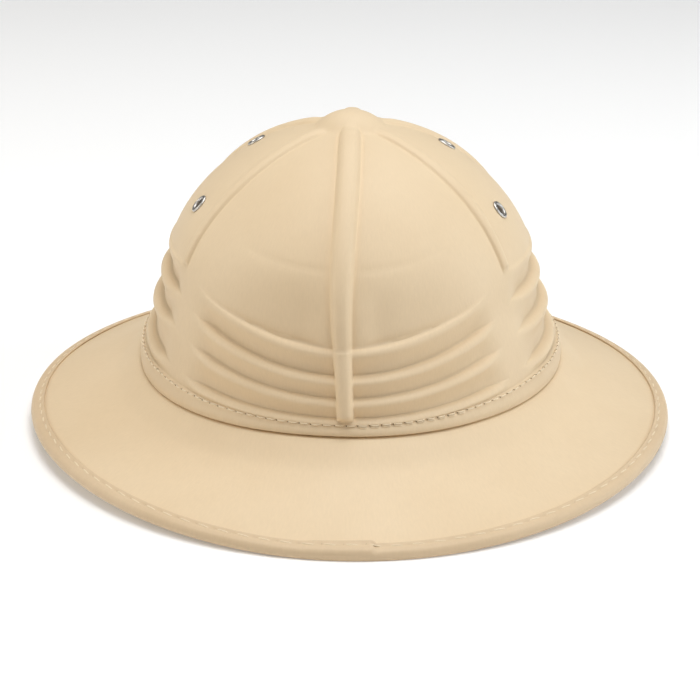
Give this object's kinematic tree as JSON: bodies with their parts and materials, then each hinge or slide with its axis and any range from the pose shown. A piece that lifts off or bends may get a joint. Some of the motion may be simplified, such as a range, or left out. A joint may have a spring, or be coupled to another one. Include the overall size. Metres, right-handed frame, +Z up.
{
  "type": "pith helmet",
  "caption": "Moulded cloth-covered sun helmet with a ribbed and pleated dome crown, a sloping oval brim with a bound edge, and side vent eyelets.",
  "frame": {"origin": "under the middle of the brim, level with the lowest points of its bound edge", "axes": "+Z up through the top button, the front rib faces -Y, +Y towards the back of the brim"},
  "size_m": [0.2798, 0.3276, 0.1366],
  "materials": {
    "crown_cloth": "matte brushed cotton over a pressed shell",
    "brim_cloth": "matte brushed cotton over a pressed shell",
    "binding_cloth": "matte twill tape",
    "eyelet_metal": "bright nickel plate"
  },
  "bodies": {
    "root": {"crown": "crown_cloth", "brim": "brim_cloth", "brim_binding": "binding_cloth", "eyelet_left_lower": "eyelet_metal", "eyelet_left_upper": "eyelet_metal", "eyelet_right_lower": "eyelet_metal", "eyelet_right_upper": "eyelet_metal"}
  },
  "joints": []
}
